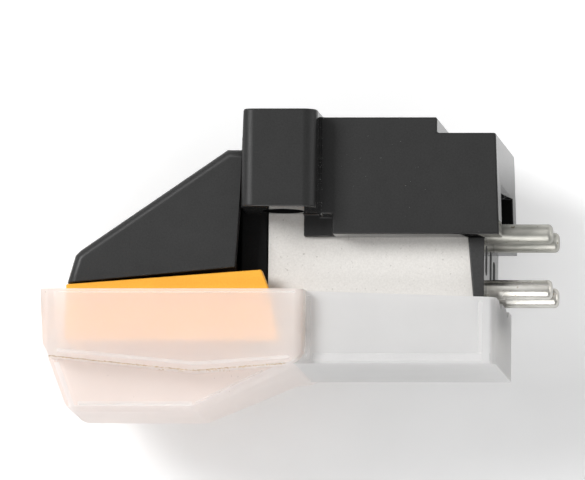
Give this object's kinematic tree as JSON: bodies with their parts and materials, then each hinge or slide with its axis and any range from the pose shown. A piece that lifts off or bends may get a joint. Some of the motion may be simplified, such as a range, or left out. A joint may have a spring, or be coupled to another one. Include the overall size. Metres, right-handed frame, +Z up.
{
  "type": "phono cartridge with stylus",
  "caption": "Moving-magnet phono cartridge: lugged black bracket, steel shield can, wedge stylus unit with raked cantilever, terminal pins and translucent clip-on stylus guard.",
  "frame": {"origin": "midway between the two mounting hole axes, on the mounting plane", "axes": "+Z up towards the headshell, +X to the rear towards the terminal pins, +Y across"},
  "size_m": [0.0322, 0.0186, 0.0188],
  "materials": {
    "black_plastic": "fine matte moulding",
    "dark_plastic": "satin moulding",
    "speckled_steel": "satin, finely speckled",
    "tinned_pin": "tarnished tin plate",
    "orange_plastic": "satin moulding",
    "milky_plastic": "milky translucent moulding",
    "brass_tube": "drawn tube",
    "core_iron": "stamped laminations",
    "copper_wire": "enamelled copper winding",
    "aluminium_tube": "drawn tube",
    "damper_rubber": "soft rubber",
    "stone": "ground diamond"
  },
  "bodies": {
    "cartridge": {"mount_bracket": "black_plastic", "shield_can": "speckled_steel", "terminal_block": "dark_plastic", "pin_left_signal": "tinned_pin", "pin_left_ground": "tinned_pin", "pin_right_signal": "tinned_pin", "pin_right_ground": "tinned_pin", "nose_block": "dark_plastic", "socket_sleeve": "brass_tube", "core_left": "core_iron", "core_right": "core_iron", "bobbin_left_upper": "dark_plastic", "bobbin_left_lower": "dark_plastic", "bobbin_right_upper": "dark_plastic", "bobbin_right_lower": "dark_plastic", "coil_left_upper": "copper_wire", "coil_left_lower": "copper_wire", "coil_right_upper": "copper_wire", "coil_right_lower": "copper_wire", "channel_plate": "core_iron", "stylus_grip": "black_plastic", "stylus_holder": "orange_plastic", "stylus_tube": "brass_tube", "wire_anchor": "brass_tube"},
    "damper_ring": {"damper": "damper_rubber"},
    "cantilever_set": {"cantilever": "aluminium_tube", "stylus_magnet": "core_iron", "tie_wire": "tinned_pin", "stylus_tip": "stone"},
    "guard": {"stylus_guard": "milky_plastic"}
  },
  "joints": [
    {"name": "guard_pull", "type": "slide", "parent": "cartridge", "child": "guard", "axis": [0, 0, -1], "range_m": [0, 0.008]},
    {"name": "cantilever_sway", "type": "hinge", "parent": "cartridge", "child": "damper_ring", "pos_m": [-0.0034, 0, -0.01385], "axis": [0, 0, 1], "range_deg": [-3, 3], "stiffness_Nm_per_rad": 0.004},
    {"name": "cantilever_lift", "type": "hinge", "parent": "damper_ring", "child": "cantilever_set", "pos_m": [-0.0034, 0, -0.01385], "axis": [0, 1, 0], "range_deg": [-2, 4], "stiffness_Nm_per_rad": 0.004}
  ]
}
